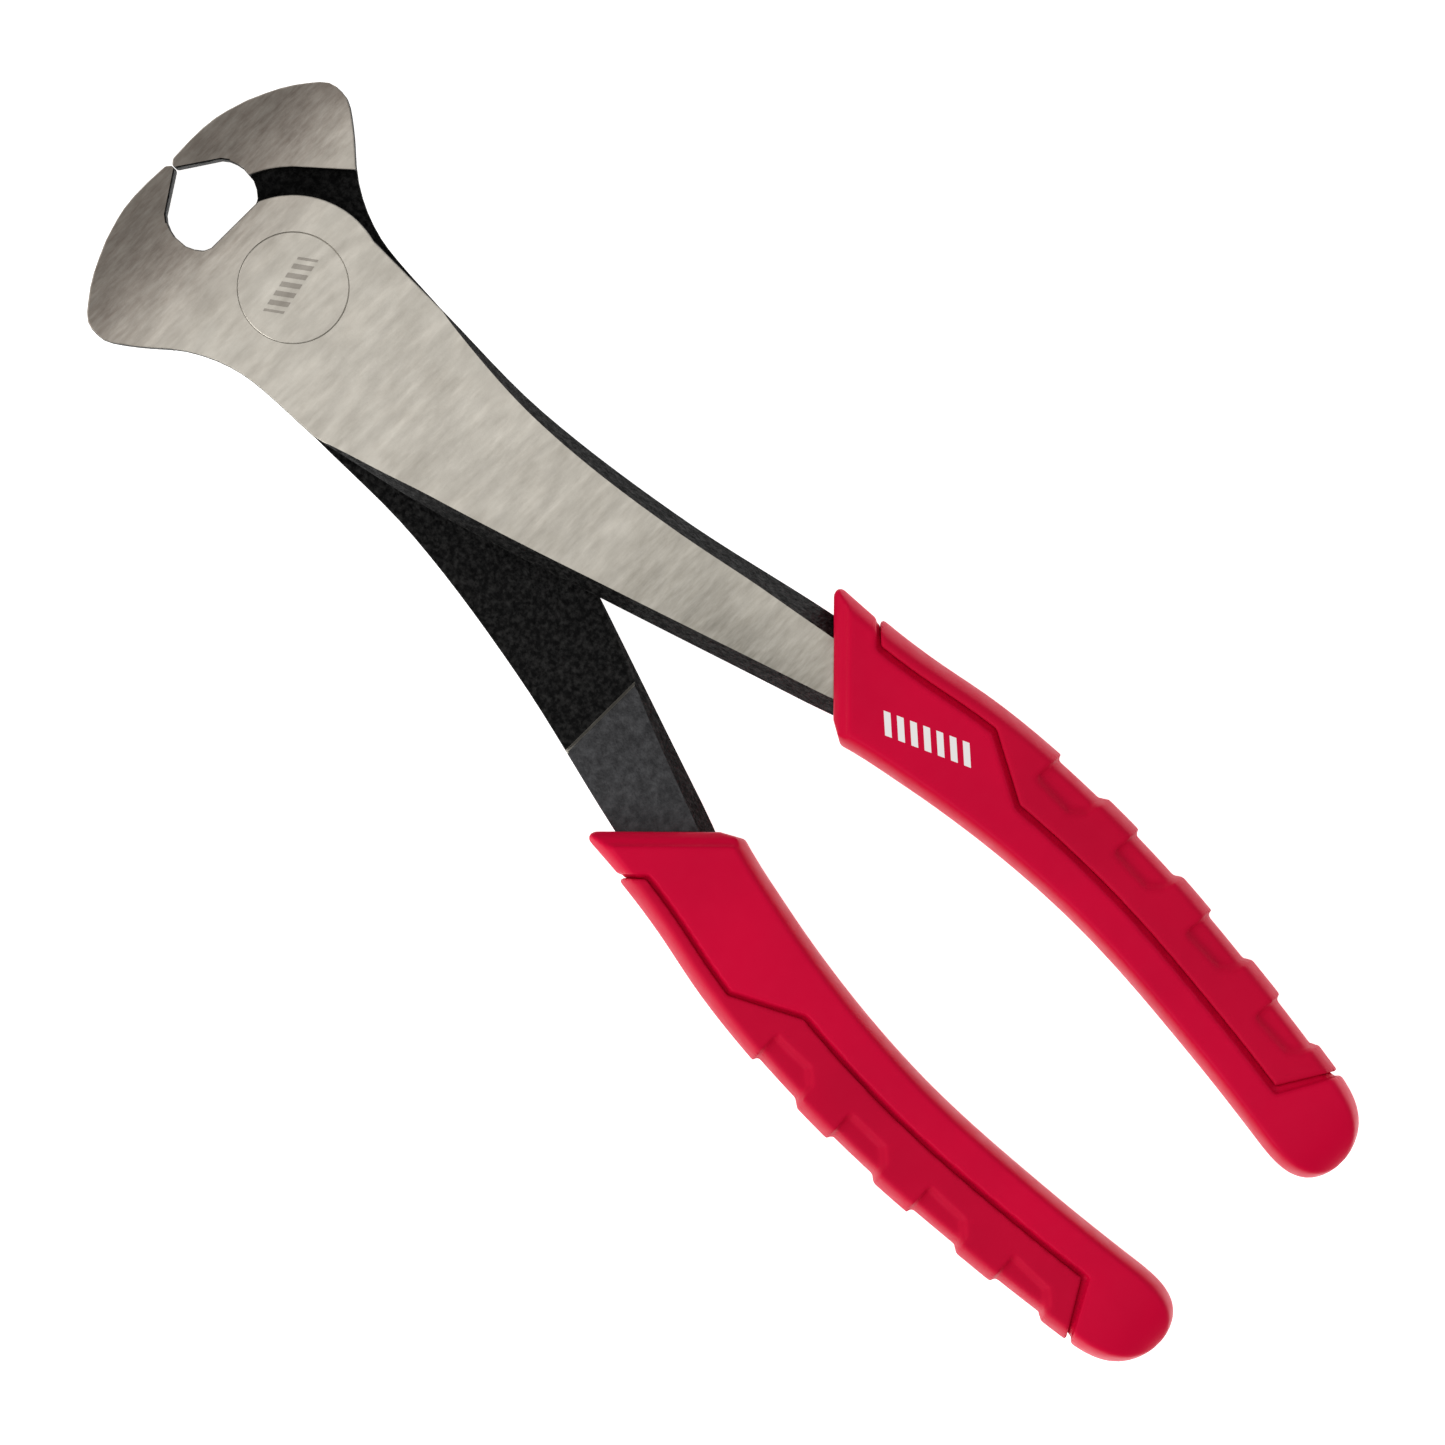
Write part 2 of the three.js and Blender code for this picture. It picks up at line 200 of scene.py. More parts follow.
# %% [markdown]
# ## The forged half
# On the real tool each half is drop-forged, its joint and jaws are ground bright, and the rest keeps its
# black oxide. It could be sculpted from one grid, but the ground faces would never come out flat, so it is
# made as a die is cut: the plan outline is raised to a block, and only what it shares with a bar of the
# side profile is kept. The lower side is then cut away to the lap, with a pocket round the boss and a
# trough along the arm.

# %% The flare of the jaws, seen from the side
joint_top, jaw_top = 7, 12
flare_start, flare_radius, flare_steps = 8.5, 35.5, 8
flare_turn = math.acos(1 - (jaw_top - joint_top) / flare_radius)
turns = [flare_turn * i / flare_steps for i in range(flare_steps + 1)]
sweep = [
    (flare_start + flare_radius * math.sin(a), joint_top + flare_radius * (1 - math.cos(a))) for a in turns
]
folds = [y for y, _ in sweep]
print("the jaws flare by", round(math.degrees(flare_turn), 1), "degrees")
print("in steps at", [round(y, 1) for y in folds])


# %% Outline of one half, seen from above
def arc(radius, start, stop, step=4.0):
    """Points on an arc about the pivot, angles in degrees from +x."""
    return [
        (radius * math.cos(a), radius * math.sin(a)) for a in map(math.radians, even(start, stop, step))
    ]


def arc_through(radius, start, stop):
    """The same arc, with a corner wherever it crosses a step of the flare."""
    rises = [math.degrees(math.asin(y / radius)) for y in folds if y < radius]
    stops = sorted([start, stop] + [a for a in rises + [180 - a for a in rises] if start < a < stop])
    points = [p for a, b in zip(stops, stops[1:]) for p in arc(radius, a, b)[:-1]]
    return points + arc(radius, stop, stop + 1, 1)[:1]


# Its corners also lie on the steps of the flare, or well clear of them, so no sliver is left between them.
throat_wall = [
    (-4.5, 12.8), (-5.55, folds[2]), (-6.45, 14.4), (-7.02, folds[3]), (-7.2, folds[4]),
    (-6.95, 19.1), (-6.5, folds[5]), (-5.8, 21.1), (-0.05, 24.9),
]
jaw_front = [
    (-0.05, 25.6), (-0.8, 26.2), (-4.5, 26.35), (-7.2, 26.3), (-9.6, 26.05), (-11.6, 25.6), (-13.4, 25.05)
]
heel_x = smooth_line(
    (-25.05, -13.4), (-24.5, -15.1), (-22.2, -20), (-19.8, -23.45), (-18.5, -24.9), (-17.2, -25.6),
    (-14.7, -25.65), (-13.2, -25.0), (-9.7, -22.4), (-5.0, -18.4), (0, -15.7), (5.6, -14.2), (18, -13.45),
)
heel_y = [y for far, near in zip(folds[7:0:-1], folds[6::-1]) for y in (far, (far + near) / 2)]
heel_y += even(flare_start, -arm_start, 2)
heel = [(heel_x(-y), y) for y in heel_y]
arm_stations = even(21.5, 74.6, 3.5) + even(80.6, 101, 3.4) + even(108, 187, 3.5)
inner_side = [(limb_centre(b) - steel_half(b), -b) for b in arm_stations]
outer_side = [(limb_centre(b) + steel_half(b), -b) for b in reversed([arm_start, *arm_stations])]
boss = arc_through(13.9, -14.5, 67)
half_plan = jaw_front + heel + inner_side + outer_side + boss + throat_wall
half = plate("front_forging", half_plan, -13, 13)
print("outline of one half:", len(half_plan), "corners")

# %% Side profile: flat joint, flared jaws, thinning arm
tang_top, arm_end, arm_end_top = 3.7, 106.5, 4.5
arm = [(-190, tang_top), (-111.5, tang_top), (-arm_end, arm_end_top), (-arm_start, joint_top)]
upper = [*arm, *sweep, (32, jaw_top)]
lower = [(y, -z) for y, z in reversed(upper)]
carve(half, side_bar("side_profile", upper + lower), "INTERSECT")
print("half with its thickness:", len(half.data.polygons), "faces")

# %% [markdown]
# The two halves cross by lapping: each is cut back to just above the middle plane where the other one lies.
# The cut could be one tool, but a round pocket clears the other boss at every angle of opening, and a
# straight trough clears its arm and ends in a ramp up to the full thickness, so each gets its own tool.

# %% Pocket and trough for the other half
lap, pocket_radius = 0.15, 18
ramp_start, ramp_end = (-77.9, -0.6), (-108, -5.0)
trough = [(0.5, -30), (0.5, lap), (-77.55, lap), ramp_start, ramp_end, (ramp_end[0], -30)]
pocket = plate("pocket", [*arc_through(pocket_radius, -170, 136), (-20.5, 4.2), (-18.4, 1.5)], -30, lap)
carve(half, pocket)
carve(half, side_bar("trough", trough))
print("half after cutting:", len(half.data.polygons), "faces")

# %% [markdown]
# No real edge is perfectly sharp, and a rounded one catches the light, so every sharp edge gets a fine
# bevel. Two rows of faces are enough at this size. Corners that lie too close together are merged first,
# because a bevel would fold over them.

# %% Fine edges
too_close, fine_edge, sharp = 0.02, 0.28, math.radians(26)
only(half)
bpy.ops.object.mode_set(mode="EDIT")
bpy.ops.mesh.select_all(action="SELECT")
bpy.ops.mesh.remove_doubles(threshold=too_close / 1000)
bpy.ops.mesh.dissolve_limited(angle_limit=math.radians(0.05))
bpy.ops.object.mode_set(mode="OBJECT")
where = {"limit_method": "ANGLE", "angle_limit": sharp, "miter_outer": "MITER_ARC"}
modify(half, "BEVEL", width=fine_edge / 1000, segments=2, use_clamp_overlap=False, **where)
print("half with its edges:", len(half.data.polygons), "faces")

# %% [markdown]
# The arms leave the die with sloping flanks, so their ground face is narrower than the arm. A chisel with a
# three-cornered section is extruded along each edge, starting just outside it, and what it covers is cut
# away.


# %% Flanks
def arm_top(back):
    """Height of the arm's upper face."""
    return joint_top - (back - arm_start) * (joint_top - arm_end_top) / (arm_end - arm_start)


def ramp_face(back):
    """Height of the arm's lower face: the lap, then the ramp."""
    (front, high), (rear, low) = ramp_start, ramp_end
    return high + (front + back) * (low - high) / (front - rear) if back > 77.6 else lap


def chisel(side, edge_height, widths, steepness, up=1):
    """A tool along one edge of the arm. Side -1 is inner, 1 outer; widths are (distance, mm) knots."""
    width = smooth_line(*widths)
    backs = even(widths[0][0], widths[-1][0], 1.75)

    def corner(back):
        edge = limb_centre(back) + side * (steel_half(back) - width(back))
        return at(edge, -back, edge_height(back))

    section = [(-side * 0.5, 0.5 * steepness), (side * 3.2, -3.2 * steepness), (side * 5, 1)]
    piece = draw("chisel", [corner(backs[0]) + Vector((x, 0, up * z)) / 1000 for x, z in section])
    for here, there in zip(backs, backs[1:]):
        bpy.ops.mesh.extrude_region_move(TRANSFORM_OT_translate={"value": corner(there) - corner(here)})
    bpy.ops.mesh.select_all(action="SELECT")
    bpy.ops.mesh.normals_make_consistent(inside=False)
    return settle(piece)


inner_flank = ((15, -0.6), (20, 0.2), (28, 1.0), (37, 1.8), (60, 2.0), (112, 2.5))
outer_flank = ((15, -0.5), (20, 0.4), (30, 1.1), (50, 1.9), (77, 2.3), (90, 2.9), (112, 3.1))
lap_flank = ((56, -0.4), (63, 0.1), (73, 0.65), (84, 1.7), (112, 2.8))
upper_slope, lap_slope = 1.7, 1.3
carve(half, chisel(-1, arm_top, inner_flank, upper_slope))
carve(half, chisel(1, arm_top, outer_flank, upper_slope))
carve(half, chisel(-1, ramp_face, lap_flank, lap_slope, up=-1))
print("half with its flanks:", len(half.data.polygons), "faces")

# %% [markdown]
# The rivet's hole is cut last, so that the bevels and the flanks leave its fine wall alone. It has a
# countersink on each face, a little wider than the rivet.


# %% The rivet's hole
def round_tool(name, profile, sides=96):
    """A body of revolution about the pivot, spun from an outline of (radius, z) points."""
    piece = draw(name, [at(r, 0, z) for r, z in profile])
    bpy.ops.mesh.delete(type="ONLY_FACE")
    bpy.ops.mesh.select_all(action="SELECT")
    bpy.ops.mesh.spin(steps=sides, angle=2 * math.pi, center=pivot, axis=(0, 0, 1))
    bpy.ops.mesh.select_all(action="SELECT")
    bpy.ops.mesh.remove_doubles(threshold=0.000005)
    bpy.ops.mesh.delete_loose()
    bpy.ops.mesh.select_all(action="SELECT")
    bpy.ops.mesh.normals_make_consistent(inside=False)
    return settle(piece)


countersink = [(0, -9), (8.4, -9), (8.4, -6.6), (5.1, -4.4), (5.1, 4.4), (8.4, 6.6), (8.4, 9), (0, 9)]
carve(half, round_tool("rivet_hole", countersink))
print("half with its hole:", len(half.data.polygons), "faces")

# %% [markdown]
# ## The rivet
# The rivet is turned bar, peened into a countersink on each side and ground flush, so only two discs show.
# A cylinder would need both heads added to it, so the section of the whole rivet is drawn once and spun.

# %% Spin the rivet
upper_rivet = [(5, 4.3), (8.36, 6.6), (8.36, 6.9), (8.2, 6.99), (0, 6.99)]
lower_rivet = [(r, -z) for r, z in reversed(upper_rivet)]
rivet = round_tool("flush_rivet", lower_rivet + upper_rivet)
print("rivet:", len(rivet.data.polygons), "faces")

# %% [markdown]
# ## The grips
# Each grip is moulded round the tang in two shots. It could be lofted from a few curves, but a rounded
# section that is extruded station by station along the bowed handle stays square to the tool and follows
# one smooth width, and it gives the whole grip in one body. The same body drawn a little smaller serves
# below as the floor of every recess.

# %% The whole grip, station by station
tip_start, grip_top, corner = 189.7, 8, 5.6
grip_half = smooth_line(
    (87.6, 12.2), (mouth_back, 10.4), (106.4, 9.4), (117.8, 9.24), (belly_back, 8.35), (tip_start, 8.0)
)


def grip_shape(back):
    """Half width and half thickness of the grip at one station."""
    past = max(0.0, (back - tip_start) / (grip_end - tip_start))
    closing = math.sqrt(max(0.0, 1 - past**3.7))
    return grip_half(back) * closing, grip_top * (0.5 + 0.5 * closing)


def grip_body(name, inset=0.0):
    """Extrudes a rounded section along the handle, inset millimetres inside the grip's surface.
    Its corners are half as wide as they are deep, so the upper and lower faces are broad and flat."""
    rounded = [tip_start + (grip_end - tip_start) * math.sin(math.radians(a)) for a in even(0, 84, 7)]
    stations = even(83, tip_start, 2.5) + [b for b in rounded[1:] if grip_shape(b)[0] > inset + 0.5]
    half_x, half_z = grip_shape(stations[0])
    centre = at(limb_centre(stations[0]), -stations[0])
    bpy.ops.object.select_all(action="DESELECT")
    bpy.ops.mesh.primitive_plane_add(size=0.002, location=centre)
    body = bpy.context.active_object
    body.name = name
    bpy.ops.object.mode_set(mode="EDIT")
    bpy.ops.mesh.select_mode(type="VERT")
    bpy.ops.transform.rotate(value=math.pi / 2, orient_axis="X", center_override=centre)
    bpy.ops.transform.resize(value=(2 * (half_x - inset), 1, half_z - inset), center_override=centre)
    bpy.ops.mesh.bevel(offset=(corner - inset) / 1000, segments=10, affect="VERTICES", profile=0.42)
    bpy.ops.transform.resize(value=(0.5, 1, 1), center_override=centre)
    for here, there in zip(stations, stations[1:]):
        wide, tall = grip_shape(here)
        wider, taller = grip_shape(there)
        near, far = at(limb_centre(here), -here), at(limb_centre(there), -there)
        bpy.ops.mesh.extrude_region_move(TRANSFORM_OT_translate={"value": far - near})
        scale = ((wider - inset) / (wide - inset), 1, (taller - inset) / (tall - inset))
        bpy.ops.transform.resize(value=scale, center_override=far)
    bpy.ops.mesh.select_all(action="SELECT")
    bpy.ops.mesh.normals_make_consistent(inside=False)
    return settle(body)


whole_grip = grip_body("front_sleeve")
print("grip body:", len(whole_grip.data.polygons), "faces")

# %% [markdown]
# The grip's open end slants across the handle at 45 degrees, with a blunt point on the outer side and a
# bevelled lip. A bisect would leave only the straight slant, so a plate with the mouth's outline is cut
# away, and then a long wedge is cut along the lip on each side.


# %% The slanted mouth
point_x = 25.1
point_y = -mouth_back + point_x - mouth_x
mouth = [
    (mouth_x - 60, -mouth_back - 10.8), (mouth_x - 8.4, -mouth_back - 10.8),
    (mouth_x - 5.4, -mouth_back - 5.4),
    (point_x, point_y), (point_x + 0.9, point_y + 0.3), (point_x + 1.5, point_y - 0.3),
    (point_x + 2.0, point_y - 1.4), (point_x + 8, -mouth_back + 3), (point_x + 8, 40), (mouth_x - 60, 40),
]
carve(whole_grip, plate("mouth_cut", mouth, -20, 20))


def mouth_rim(name, side):
    """A long wedge that bevels the moulding's lip, behind the slanted mouth."""
    lip = [(-1.0, 4.6), (0.9, 6.9), (2.0, 7.45), (2.3, 8.2), (2.3, 12), (-1.0, 12)]
    start = at(-20, -mouth_back - 20 - mouth_x)
    behind = Vector((1, -1, 0)).normalized()
    corners = [start + behind * d / 1000 + Vector((0, 0, side * z / 1000)) for d, z in lip]
    return raise_solid(draw(name, corners), Vector((60, 60, 0)) / 1000)


for side in (1, -1):
    carve(whole_grip, mouth_rim("lip_cut", side))
print("grip with its mouth:", len(whole_grip.data.polygons), "faces")

# %% [markdown]
# The pad is the second shot: a skin 1.6 mm thick on the outer side of the grip, with a narrow strip beside
# the mouth and a groove round it. It could be a separate shell, but cutting the pad and its bed with one
# outline and one inner body makes the two fit. Four shallow notches for the fingers are then cut into the
# pad.


# %% The pad's outline
def copy(piece, name):
    """A copy of a piece with its own mesh."""
    only(piece)
    bpy.ops.object.duplicate()
    twin = bpy.context.active_object
    twin.name = name
    return twin


def grip_outer(back):
    """The outer side of the grip."""
    return limb_centre(back) + grip_half(back)


def pad_plan(grow):
    """The pad seen from above, grown all round by so many millimetres."""
    pad_end, strip_width, past_centre = 187.5, 3.3, 0.9
    strip = [(grip_outer(b) - strip_width - grow, -b) for b in even(99.6, 120.5, 3)]
    line = [(limb_centre(b) - past_centre - grow, -b) for b in even(131, pad_end, 4)]
    foot = pad_end + grow
    return [
        (60, -mouth_back + grow), (grip_outer(mouth_back) - 0.6, -mouth_back + grow), *strip, *line,
        (limb_centre(foot) - past_centre - grow, -foot), (grip_outer(foot), -foot - 5.4), (60, -foot - 5.4),
    ]


pad_depth, groove_width, groove_depth = 1.6, 0.85, 0.95
pad = copy(whole_grip, "front_pad")
carve(pad, plate("pad_area", pad_plan(0), -20, 20), "INTERSECT")
carve(pad, grip_body("pad_bed", pad_depth))
for width, depth in ((0.0, pad_depth), (groove_width, groove_depth)):
    bed = plate("bed_area", pad_plan(width), -20, 20)
    carve(bed, grip_body("pad_bed", depth))
    carve(whole_grip, bed)
beside = [(grip_outer(b) - 0.5, -b) for b in even(80, 96.4, 2)]
carve(whole_grip, plate("beside_pad", [(60, -80), *beside, (60, -96.4)], -20, 20))
print("pad:", len(pad.data.polygons), "faces, sleeve:", len(whole_grip.data.polygons))

# %% Finger notches
notch_floor, notch_shelf = grip_body("notch_floor", 0.9), grip_body("notch_shelf", 0.45)
first_notch, notch_pitch, notch_length, notch_reach = 130.2, 16.1, 8.4, 4.9
for number in range(4):
    front = first_notch + notch_pitch * number
    rear = front + notch_length
    outside = grip_outer(front)
    for wider, floor in ((0, notch_floor), (0.55, notch_shelf)):
        inner = outside - notch_reach - wider
        step = [
            (outside + 6, -front - 0.4), (inner, -front + 0.5), (inner - 0.2, -rear + 2.2 - wider),
            (inner + 1.7, -rear - wider), (outside + 6, -rear - 1.2 - wider),
        ]
        tool = plate("notch", step, -20, 20)
        carve(tool, floor, keep=True)
        carve(pad, tool)
bpy.data.objects.remove(notch_floor)
bpy.data.objects.remove(notch_shelf)
print("notched pad:", len(pad.data.polygons), "faces")

# %% [markdown]
# The sleeve is moulded round the tang, so a copy of the steel is cut out of it. Mouldings have soft edges
# everywhere. Bevels would fail on so many small cuts, so a voxel remesh and a little smoothing round them
# all.

# %% Room for the tang, then soft moulded edges
carve(whole_grip, copy(half, "tang"))
for piece in (whole_grip, pad):
    modify(piece, "REMESH", mode="VOXEL", voxel_size=0.34 / 1000)
    modify(piece, "SMOOTH", factor=0.5, iterations=3)
    print(piece.name, len(piece.data.polygons), "faces after softening")

# %% [markdown]
# ## Finishes
# Three finishes show on the steel: ground metal, black oxide, and a greyer oxide on the ramp. The grips are
# one red material in two slightly different glosses. Finishes could be painted on maps, but noise in a
# piece's own coordinates has the same scale everywhere, needs no unwrapping, and doesn't slide when the
# piece moves.


# %% A small kit for finishes
class Finish:
    """One material and short ways to add its nodes."""

    def __init__(self, name, color, roughness, metallic=0.0):
        self.material = bpy.data.materials.new(name)
        self.material.use_nodes = True
        self.nodes, self.links = self.material.node_tree.nodes, self.material.node_tree.links
        self.shader = self.nodes["Principled BSDF"]
        self.shader.inputs["Base Color"].default_value = (*color, 1)
        self.shader.inputs["Roughness"].default_value = roughness
        self.shader.inputs["Metallic"].default_value = metallic
        self.places = self.nodes.new("ShaderNodeTexCoord").outputs["Object"]
        self.height = None

    def link(self, source, target):
        self.links.new(source, target)

    def stretched(self, x, y, z):
        """Places scaled on each axis. A scale under 1 stretches a pattern."""
        mapping = self.nodes.new("ShaderNodeMapping")
        mapping.inputs["Scale"].default_value = (x, y, z)
        self.link(self.places, mapping.inputs["Vector"])
        return mapping.outputs["Vector"]

    def noise(self, scale, detail=3.0, places=None, rough=0.5):
        """Clouds or specks. A scale of 1000 gives grains about a millimetre wide."""
        node = self.nodes.new("ShaderNodeTexNoise")
        node.inputs["Scale"].default_value = scale
        node.inputs["Detail"].default_value = detail
        node.inputs["Roughness"].default_value = rough
        self.link(places or self.places, node.inputs["Vector"])
        return node.outputs["Fac"]

    def spread(self, source, low, high, out_low, out_high):
        """Maps low..high onto out_low..out_high and cuts off what lies outside."""
        node = self.nodes.new("ShaderNodeMapRange")
        labels = ("From Min", "From Max", "To Min", "To Max")
        for label, value in zip(labels, (low, high, out_low, out_high)):
            node.inputs[label].default_value = value
        self.link(source, node.inputs["Value"])
        return node.outputs["Result"]

    def blend(self, factor, first, second):
        """A colour between two, each a colour of its own or another node's."""
        node = self.nodes.new("ShaderNodeMix")
        node.data_type = "RGBA"
        self.link(factor, node.inputs["Factor"])
        for socket, tint in zip((node.inputs[6], node.inputs[7]), (first, second)):
            if isinstance(tint, tuple):
                socket.default_value = (*tint, 1)
            else:
                self.link(tint, socket)
        return node.outputs[2]

    def ahead(self, start, stop):
        """From 0 to 1 between two distances in front of the pivot, in millimetres."""
        parts = self.nodes.new("ShaderNodeSeparateXYZ")
        self.link(self.places, parts.inputs["Vector"])
        return self.spread(parts.outputs["Y"], pivot.y + start / 1000, pivot.y + stop / 1000, 0, 1)

    def across(self, start, stop):
        """From 0 to 1 between two distances to the right of the pivot, in millimetres."""
        parts = self.nodes.new("ShaderNodeSeparateXYZ")
        self.link(self.places, parts.inputs["Vector"])
        return self.spread(parts.outputs["X"], pivot.x + start / 1000, pivot.x + stop / 1000, 0, 1)

    def math(self, operation, *values):
        """One step of arithmetic on numbers or on other nodes."""
        node = self.nodes.new("ShaderNodeMath")
        node.operation = operation
        for socket, value in zip(node.inputs, values):
            if isinstance(value, (int, float)):
                socket.default_value = value
            else:
                self.link(value, socket)
        return node.outputs["Value"]

    def bars(self, x, y, turn, length, width, pitch):
        """A row of short slanted bars on the upper face: 1 on a bar, 0 elsewhere. Sizes in millimetres."""
        mapping = self.nodes.new("ShaderNodeMapping")
        mapping.vector_type = "TEXTURE"
        mapping.inputs["Location"].default_value = at(x, y)
        mapping.inputs["Rotation"].default_value = (0, 0, math.radians(turn))
        mapping.inputs["Scale"].default_value = (0.001, 0.001, 0.001)
        self.link(self.places, mapping.inputs["Vector"])
        parts = self.nodes.new("ShaderNodeSeparateXYZ")
        self.link(mapping.outputs["Vector"], parts.inputs["Vector"])
        along, across, up = parts.outputs
        slanted = self.math("MULTIPLY_ADD", across, 0.45, along)
        turns = self.math("MULTIPLY_ADD", slanted, 1 / pitch, 0.26)
        bar = self.math("LESS_THAN", self.math("FRACT", turns), 0.52)
        for inside in (
            self.math("LESS_THAN", self.math("ABSOLUTE", slanted), length / 2),
            self.math("LESS_THAN", self.math("ABSOLUTE", across), width / 2),
            self.math("GREATER_THAN", up, 4),
        ):
            bar = self.math("MULTIPLY", bar, inside)
        return bar

    def bump(self, source, depth_mm, strength=1.0):
        """Adds relief on top of the relief added before it."""
        node = self.nodes.new("ShaderNodeBump")
        node.inputs["Strength"].default_value = strength
        node.inputs["Distance"].default_value = depth_mm / 1000
        self.link(source, node.inputs["Height"])
        if self.height is not None:
            self.link(self.height, node.inputs["Normal"])
        self.height = node.outputs["Normal"]
        self.link(self.height, self.shader.inputs["Normal"])

    def rough(self, source):
        """Drives the roughness."""
        self.link(source, self.shader.inputs["Roughness"])

    def color(self, source):
        """Drives the base colour."""
        self.link(source, self.shader.inputs["Base Color"])


# %% [markdown]
# The joint and the jaws are ground: warm grey metal with fine marks across the tool and soft clouds.
# Painted shade makes it darker and browner on the flared jaws, darker down the arm and darkest beside the
# grip. The marks are noise stretched across the tool, which works for colour, roughness and bump alike. On
# the rivet a row of slanted bars is lightly engraved.


# %% Ground steel
def ground_finish(name):
    """Ground steel, with painted shade: darker and browner on the jaws, darker down the arm, darkest by the
    grip.
    """
    ground = Finish(name, (0.5, 0.47, 0.42), 0.42, 1.0)
    scratches = ground.noise(620, 4, ground.stretched(0.25, 1, 1))
    clouds = ground.spread(ground.noise(150, 6, None, 0.65), 0.33, 0.68, 0, 1)
    grain = ground.spread(ground.noise(1500, 4, ground.stretched(0.22, 1, 1), 0.6), 0.32, 0.72, 0.08, 0.37)
    plain = ground.blend(clouds, (0.395, 0.365, 0.315), (0.48, 0.45, 0.395))
    # Painted shade: the ground face turns darker down the arm, towards the grip.
    painted_shade_down_arm = ground.blend(clouds, (0.26, 0.24, 0.2), (0.34, 0.315, 0.27))
    # Painted shade for the flared jaws: darker, browner steel where the flare turns away from the light.
    tinted = ground.blend(clouds, (0.18, 0.145, 0.12), (0.28, 0.24, 0.205))
    steel = ground.blend(ground.ahead(-118, -25), painted_shade_down_arm, plain)
    # Painted shade: darkest on the inner side of the arm, beside the grip.
    painted_shade_by_grip = ground.math("MULTIPLY", ground.across(18, 9), ground.ahead(-62, -95))
    steel = ground.blend(painted_shade_by_grip, steel, (0.14, 0.13, 0.105))
    # The painted shade of the flare blends in towards the jaws.
    steel = ground.blend(ground.ahead(4, 16), steel, tinted)
    ground.color(ground.blend(grain, steel, (0.6, 0.57, 0.51)))
    ground.rough(ground.spread(scratches, 0.3, 0.7, 0.38, 0.5))
    ground.bump(scratches, 0.015, 0.5)
    ground.bump(ground.noise(400, 4, ground.stretched(0.6, 1, 1), 0.6), 0.06, 0.6)
    ground.bump(ground.noise(1600, 3, ground.stretched(0.3, 1, 1)), 0.03, 0.7)
    return ground


ground_steel = ground_finish("ground_steel")
rivet_steel = ground_finish("ground_rivet")
engraved = rivet_steel.bars(x=0, y=0.5, turn=12, length=9.6, width=2.8, pitch=1.6)
worn = rivet_steel.spread(engraved, 0, 1, 0, 0.5)
clean = rivet_steel.shader.inputs["Base Color"].links[0].from_socket
rivet_steel.color(rivet_steel.blend(worn, clean, (0.12, 0.1, 0.085)))
rivet_steel.bump(rivet_steel.spread(engraved, 0, 1, 1, 0), 0.15, 1.0)
print("ground steel:", len(ground_steel.nodes), "nodes, rivet:", len(rivet_steel.nodes))

# %% [markdown]
# Everything that isn't ground keeps black oxide over the forged skin, nearly black, matt and a little
# lumpy. One dark colour would look like paint, so fine specks of a lighter oxide lie over it. The ramp is
# worn greyer.

# %% Black oxide over the forged skin
oxide = Finish("black_oxide", (0.006, 0.006, 0.006), 0.5)
oxide.shader.inputs["Specular IOR Level"].default_value = 0.07
skin = oxide.spread(oxide.noise(1200, 5, None, 0.7), 0.44, 0.66, 0, 1)
oxide.color(oxide.blend(skin, (0.0008, 0.0008, 0.0008), (0.0205, 0.02, 0.0192)))
oxide.bump(oxide.noise(1000, 4, None, 0.6), 0.4, 1.0)
oxide.bump(oxide.noise(260, 3), 0.25, 0.5)
oxide.rough(oxide.spread(oxide.noise(700, 3), 0.3, 0.7, 0.42, 0.62))

grey_oxide = Finish("worn_oxide", (0.035, 0.035, 0.037), 0.5)
grey_oxide.shader.inputs["Specular IOR Level"].default_value = 0.2
wear = grey_oxide.spread(grey_oxide.noise(650, 6, None, 0.7), 0.38, 0.68, 0, 1)
grey_oxide.color(grey_oxide.blend(wear, (0.02, 0.02, 0.0215), (0.061, 0.061, 0.064)))
grey_oxide.bump(grey_oxide.noise(700, 4, None, 0.6), 0.5, 1.0)
grey_oxide.bump(grey_oxide.noise(220, 3), 0.5, 0.7)
grey_oxide.rough(grey_oxide.spread(grey_oxide.noise(500, 3), 0.3, 0.7, 0.36, 0.58))
print("oxide:", len(oxide.nodes), "nodes, worn oxide:", len(grey_oxide.nodes))

# %% [markdown]
# The grips are soft red plastic. The pad is a shade darker and more matt than the sleeve. A row of slanted
# white bars is printed on the front sleeve. It could be a decal on a plane, but drawn in the finish it lies
# in the surface. Its place is right of the pivot, so the rear sleeve, on the left, has none.


# %% Red mouldings
def moulding(name, shade, gloss):
    """Red plastic with faint clouds in its tone and gloss."""
    finish = Finish(name, shade, gloss)
    finish.shader.inputs["Specular IOR Level"].default_value = 0.18
    finish.shader.inputs["Specular Tint"].default_value = (1, 0.22, 0.4, 1)
    tone = finish.spread(finish.noise(60, 3), 0.3, 0.7, 0, 1)
    darker = tuple(c * 0.9 for c in shade)
    tinted = finish.blend(tone, darker, shade)
    if name == "sleeve_red":
        printed = finish.bars(x=19.8, y=-114.3, turn=-65.5, length=14.7, width=3.4, pitch=2.1)
        tinted = finish.blend(printed, tinted, (0.86, 0.85, 0.83))
    finish.color(tinted)
    finish.bump(finish.noise(900, 2), 0.03, 0.35)
    finish.rough(finish.spread(finish.noise(400, 3), 0.3, 0.7, gloss - 0.05, gloss + 0.06))
    return finish


